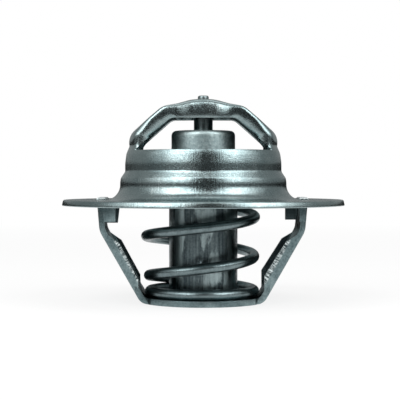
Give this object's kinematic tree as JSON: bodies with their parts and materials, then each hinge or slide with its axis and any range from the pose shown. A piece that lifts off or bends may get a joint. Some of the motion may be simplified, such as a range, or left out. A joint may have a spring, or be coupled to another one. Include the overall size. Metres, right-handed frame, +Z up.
{
  "type": "engine thermostat insert",
  "caption": "Wax-operated engine coolant valve insert: round mounting flange with stepped valve dome and bridge, spring, wax element and bent lower frame.",
  "frame": {"origin": "on the piston's axis, at the underside of the lower frame", "axes": "+Z up along the piston towards the bridge, X along the bridge"},
  "size_m": [0.0536, 0.0534, 0.0391],
  "materials": {
    "housing_steel": "drawn sheet steel, satin",
    "frame_steel": "bent sheet steel, satin, coined edges",
    "spring_steel": "dark drawn spring wire",
    "piston_steel": "ground pin",
    "guide_steel": "turned, matte",
    "cup_steel": "deep drawn, dull",
    "disc_steel": "pressed sheet steel",
    "black_rubber": "moulded rubber",
    "pale_wax": "solid wax",
    "ring_plastic": "turned plastic"
  },
  "bodies": {
    "frame": {"valve_housing": "housing_steel", "lower_frame": "frame_steel", "piston": "piston_steel", "main_spring": "spring_steel"},
    "valve": {"guide_cap": "guide_steel", "wax_cup": "cup_steel", "valve_disc": "disc_steel", "valve_seal": "black_rubber", "rubber_sleeve": "black_rubber", "wax_charge": "pale_wax", "chafe_ring": "ring_plastic", "wiper_ring": "ring_plastic"}
  },
  "joints": [
    {"name": "valve_lift", "type": "slide", "parent": "frame", "child": "valve", "axis": [0, 0, -1], "range_m": [0, 0.008], "stiffness_N_per_m": 6000, "springref_m": -0.0005, "deforming": ["main_spring"]}
  ]
}
